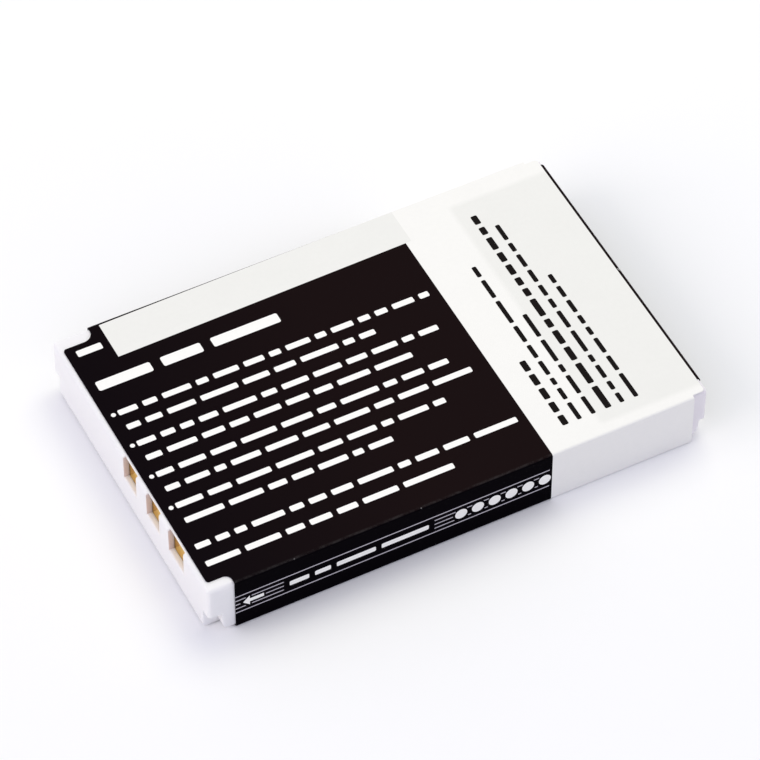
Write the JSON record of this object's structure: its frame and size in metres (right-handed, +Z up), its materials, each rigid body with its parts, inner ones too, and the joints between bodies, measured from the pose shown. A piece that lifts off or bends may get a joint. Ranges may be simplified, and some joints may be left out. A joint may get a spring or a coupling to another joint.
{
  "type": "battery pack",
  "caption": "Flat rechargeable battery pack for a remote control: a sealed cell between moulded end caps, wrapped in a printed film, with gilt contacts in windows of the end face.",
  "frame": {"origin": "middle of the underside, on the surface that the pack lies on", "axes": "+X along the pack from the contact end to the tail, +Y across it, +Z up through its thickness"},
  "size_m": [0.053, 0.0344, 0.0066],
  "materials": {
    "cap_plastic": "white moulded plastic, fine satin",
    "printed_film": "satin film printed in black with white fields",
    "can_metal": "drawn, brushed along the can",
    "gilt": "gilt plate, satin",
    "nickel": "bright rolled strip",
    "gasket_plastic": "moulded seal",
    "fibre_sheet": "pressed fibre",
    "board_laminate": "green lacquer over laminate",
    "chip_resin": "dark moulding resin",
    "chip_ceramic": "fired ceramic with tinned ends",
    "tape_foam": "adhesive pad"
  },
  "bodies": {
    "root": {"contact_cap": "cap_plastic", "tail_cap": "cap_plastic", "wrap_label": "printed_film", "cell": "can_metal", "fill_plug": "can_metal", "terminal_gasket": "gasket_plastic", "negative_terminal": "nickel", "lid_insulator": "fibre_sheet", "positive_tab": "nickel", "negative_tab": "nickel", "circuit_board": "board_laminate", "contact_positive": "gilt", "contact_signal": "gilt", "contact_negative": "gilt", "tail_tape": "tape_foam", "protection_chip": "chip_resin", "switch_transistor": "chip_resin", "resistor_1": "chip_ceramic", "resistor_2": "chip_ceramic", "capacitor_1": "chip_ceramic", "capacitor_2": "chip_ceramic", "thermistor": "chip_ceramic"}
  },
  "joints": []
}
